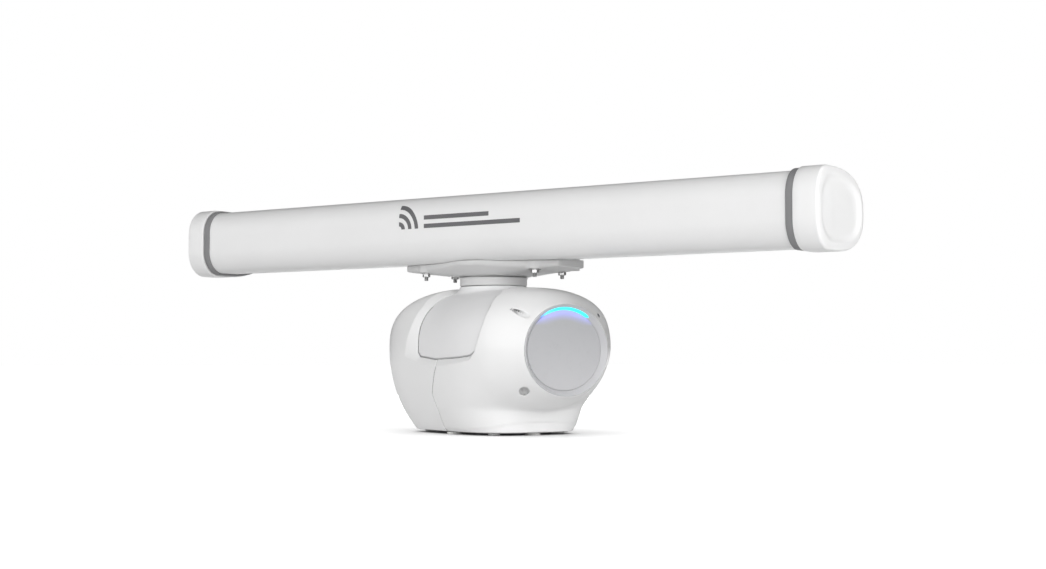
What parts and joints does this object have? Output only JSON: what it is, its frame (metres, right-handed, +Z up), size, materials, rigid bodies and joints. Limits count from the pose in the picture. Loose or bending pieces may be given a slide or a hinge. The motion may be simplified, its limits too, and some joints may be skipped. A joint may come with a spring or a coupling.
{
  "type": "open array marine radar",
  "caption": "Marine radar with a rotating bar antenna on a rounded pedestal, with a slotted array, gear drive, bearings and electronics inside.",
  "frame": {"origin": "on the antenna's spin axis, in the plane of the foot pads' undersides and of the four tapped bosses, at the middle of the bolt pattern", "axes": "+Z up along the spin axis; the pedestal's nose faces -Y and its cable glands face +Y; the bar rests turned 67.8 degrees clockwise from +X seen from above"},
  "size_m": [0.7113, 1.3916, 0.4515],
  "materials": {
    "radome_white": "smooth white glass-reinforced plastic",
    "cap_white": "moulded white plastic",
    "seal_grey": "matte grey elastomer",
    "graphic_grey": "thin grey vinyl film",
    "plain_aluminium": "extruded or milled aluminium",
    "guide_brass": "drawn brass",
    "foam": "closed-cell foam",
    "coax_copper": "bare copper jacket",
    "casting_white": "powder-coated casting",
    "saddle_white": "powder-coated casting, slightly greyer",
    "bolt_steel": "stainless fasteners",
    "shaft_steel": "ground steel",
    "bearing_steel": "polished bearing steel",
    "cage_brass": "pressed brass",
    "gear_nylon": "machined gear plastic",
    "magnet_dark": "plated magnet",
    "casing_white": "moulded white plastic with a soft sheen",
    "pad_white": "pale moulded pads",
    "black_rubber": "lip seal rubber",
    "motor_black": "black painted housing",
    "board_green": "glass-epoxy circuit board",
    "disc_grey": "satin grey plastic",
    "bezel_grey": "satin light grey plastic",
    "light_cyan": "lit cyan light guide",
    "gland_black": "black moulded nylon"
  },
  "bodies": {
    "pedestal": {"base_casting": "casting_white", "foot_pads": "pad_white", "front_casing": "casing_white", "rear_casing": "casing_white", "saddle_frame": "saddle_white", "bearing_housing": "plain_aluminium", "housing_screws": "bolt_steel", "upper_outer_race": "bearing_steel", "lower_outer_race": "bearing_steel", "shaft_seal": "black_rubber", "motor_body": "motor_black", "motor_stand": "plain_aluminium", "motor_screws": "bolt_steel", "rotary_joint_stator": "shaft_steel", "transceiver_box": "plain_aluminium", "transceiver_lid": "plain_aluminium", "transceiver_board": "board_green", "power_board": "board_green", "front_disc": "disc_grey", "disc_bezel": "bezel_grey", "light_guide": "light_cyan", "led_board": "board_green", "casing_screws": "bolt_steel", "cable_glands": "gland_black", "azimuth_sensor": "board_green"},
    "antenna": {"radome_tube": "radome_white", "end_cap_left": "cap_white", "end_cap_right": "cap_white", "ring_seal_left": "seal_grey", "ring_seal_right": "seal_grey", "side_graphic": "graphic_grey", "strongback": "plain_aluminium", "slotted_waveguide": "guide_brass", "horn_upper": "plain_aluminium", "horn_lower": "plain_aluminium", "array_brackets": "plain_aluminium", "foam_supports": "foam", "feed_transition": "guide_brass", "feed_coax": "coax_copper", "mounting_bracket": "casting_white", "bracket_studs": "bolt_steel", "bracket_nuts": "bolt_steel", "bracket_washers": "bolt_steel", "hub_screws": "bolt_steel", "neck_hub": "casting_white", "main_shaft": "shaft_steel", "upper_inner_race": "bearing_steel", "lower_inner_race": "bearing_steel", "drive_gear": "gear_nylon", "shaft_nut": "bolt_steel", "rotary_joint_rotor": "guide_brass", "azimuth_magnet": "magnet_dark"},
    "upper_cage": {"upper_bearing_cage": "cage_brass", "upper_bearing_balls": "bearing_steel"},
    "lower_cage": {"lower_bearing_cage": "cage_brass", "lower_bearing_balls": "bearing_steel"},
    "motor_rotor": {"motor_pinion": "shaft_steel", "motor_shaft": "shaft_steel", "motor_rotor_stack": "shaft_steel"}
  },
  "joints": [
    {"name": "antenna_spin", "type": "hinge", "parent": "pedestal", "child": "antenna", "pos_m": [0, 0, 0], "axis": [0, 0, 1], "continuous": true},
    {"name": "motor_spin", "type": "hinge", "parent": "pedestal", "child": "motor_rotor", "pos_m": [0, 0.084, 0], "axis": [0, 0, 1], "continuous": true},
    {"name": "upper_cage_spin", "type": "hinge", "parent": "pedestal", "child": "upper_cage", "pos_m": [0, 0, 0.243], "axis": [0, 0, 1], "continuous": true},
    {"name": "lower_cage_spin", "type": "hinge", "parent": "pedestal", "child": "lower_cage", "pos_m": [0, 0, 0.177], "axis": [0, 0, 1], "continuous": true}
  ],
  "couplings": [
    {"joint": "motor_spin", "follows": "antenna_spin", "ratio": -5},
    {"joint": "upper_cage_spin", "follows": "antenna_spin", "ratio": 0.41},
    {"joint": "lower_cage_spin", "follows": "antenna_spin", "ratio": 0.41}
  ]
}
